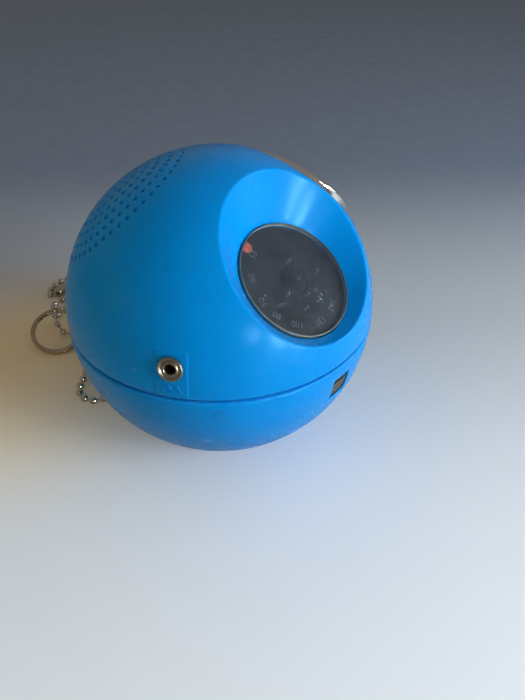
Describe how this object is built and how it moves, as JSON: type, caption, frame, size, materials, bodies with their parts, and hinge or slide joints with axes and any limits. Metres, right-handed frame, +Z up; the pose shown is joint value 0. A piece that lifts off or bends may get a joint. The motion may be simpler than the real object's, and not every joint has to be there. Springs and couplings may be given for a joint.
{
  "type": "spherical pocket radio",
  "caption": "Ball-shaped pocket radio in glossy blue plastic with a recessed tuning dial and volume knob, a drilled speaker field, an earphone socket, and a bead chain with a key ring.",
  "frame": {"origin": "centre of the flat foot face, on the ground", "axes": "+Z up; -Y is the front, midway between the two recesses; +X is the side of the volume knob, -X the side of the earphone socket"},
  "size_m": [0.1608, 0.1474, 0.108],
  "materials": {
    "blue_plastic": "glossy azure-blue moulded ABS, lightly scuffed",
    "clear_acrylic": "clear moulded acrylic, worn and scratched on its face",
    "black_plastic": "black moulded plastic",
    "red_paint": "red paint",
    "chrome": "bright chrome plate",
    "nickel": "nickel plate, slightly dulled",
    "steel": "plain zinc-plated steel",
    "brass": "turned brass",
    "cone_paper": "black pressed paper",
    "grille_cloth": "thin black woven cloth",
    "board_phenolic": "brown phenolic paper board",
    "ferrite": "dark grey ferrite",
    "copper_wire": "enamelled copper wire",
    "cream_nylon": "cream nylon",
    "capacitor_sleeve": "blue shrink sleeve",
    "battery_jacket": "plain grey printed steel jacket",
    "red_lead": "red PVC insulation",
    "black_lead": "black PVC insulation"
  },
  "bodies": {
    "lower_half": {"lower_shell": "blue_plastic", "catch_spring": "steel", "catch_screw": "steel", "chain_eyelet": "nickel", "eyelet_nut": "nickel"},
    "upper_half": {"upper_shell": "blue_plastic", "index_plate": "black_plastic", "index_dot": "red_paint", "tuning_capacitor": "cream_nylon", "capacitor_bracket": "steel", "volume_control": "steel", "speaker_frame": "steel", "speaker_magnet": "steel", "grille_cloth": "grille_cloth", "speaker_clamp_1": "steel", "speaker_clamp_2": "steel", "speaker_clamp_3": "steel", "speaker_screw_1": "steel", "speaker_screw_2": "steel", "speaker_screw_3": "steel", "circuit_board": "board_phenolic", "board_screw_1": "steel", "board_screw_2": "steel", "board_screw_3": "steel", "if_can_1": "steel", "if_can_2": "steel", "if_can_3": "steel", "if_can_4": "steel", "driver_transformer": "steel", "output_transformer": "steel", "electrolytic_1": "capacitor_sleeve", "electrolytic_2": "capacitor_sleeve", "transistor_1": "black_plastic", "transistor_2": "black_plastic", "transistor_3": "black_plastic", "transistor_4": "black_plastic", "ferrite_rod": "ferrite", "antenna_coil": "copper_wire", "rod_holder_1": "cream_nylon", "rod_holder_2": "cream_nylon", "earphone_jack": "black_plastic", "jack_ferrule": "nickel", "battery": "battery_jacket", "battery_snap": "black_plastic", "battery_clip": "steel", "battery_lead_red": "red_lead", "battery_lead_black": "black_lead"},
    "dial": {"dial_disc": "clear_acrylic", "tuning_shaft": "brass"},
    "knob": {"volume_knob": "chrome", "volume_shaft": "brass"},
    "cone": {"speaker_cone": "cone_paper", "dust_cap": "cone_paper"},
    "catch": {"catch_button": "steel"},
    "chain": {"chain_to_ball": "nickel"},
    "ring": {"key_ring": "nickel"},
    "chain_tail": {"chain_loop": "nickel", "chain_connector": "nickel", "chain_end": "nickel"}
  },
  "joints": [
    {"name": "upper_half_lift", "type": "slide", "parent": "lower_half", "child": "upper_half", "axis": [0, 0, 1], "range_m": [0, 0.03]},
    {"name": "tuning_turn", "type": "hinge", "parent": "upper_half", "child": "dial", "pos_m": [-0.02397, -0.02397, 0.07642], "axis": [-0.445, -0.445, 0.7771], "range_deg": [-180, 0]},
    {"name": "volume_turn", "type": "hinge", "parent": "upper_half", "child": "knob", "pos_m": [0.0283, -0.0283, 0.0836], "axis": [0.5, -0.5, 0.7071], "range_deg": [-280, 0]},
    {"name": "cone_travel", "type": "slide", "parent": "upper_half", "child": "cone", "axis": [0.1043, 0.6302, 0.7694], "range_m": [-0.0004, 0.0004], "stiffness_N_per_m": 1500},
    {"name": "catch_press", "type": "slide", "parent": "lower_half", "child": "catch", "axis": [0.6941, 0.6941, 0.1908], "range_m": [0, 0.0012], "stiffness_N_per_m": 1500},
    {"name": "chain_swing", "type": "hinge", "parent": "lower_half", "child": "chain", "pos_m": [0.02886, 0.04999, 0.04095], "axis": [0.866, -0.5, 0], "range_deg": [0, 40]},
    {"name": "ring_swing", "type": "hinge", "parent": "chain", "child": "ring", "pos_m": [0.0593, 0.0802, 0.0107], "axis": [-0.1668, 0.986, 0], "range_deg": [0, 80]},
    {"name": "tail_fold", "type": "hinge", "parent": "chain", "child": "chain_tail", "pos_m": [0.068, 0.082, 0.0016], "axis": [0, 0, -1], "range_deg": [0, 30]}
  ]
}
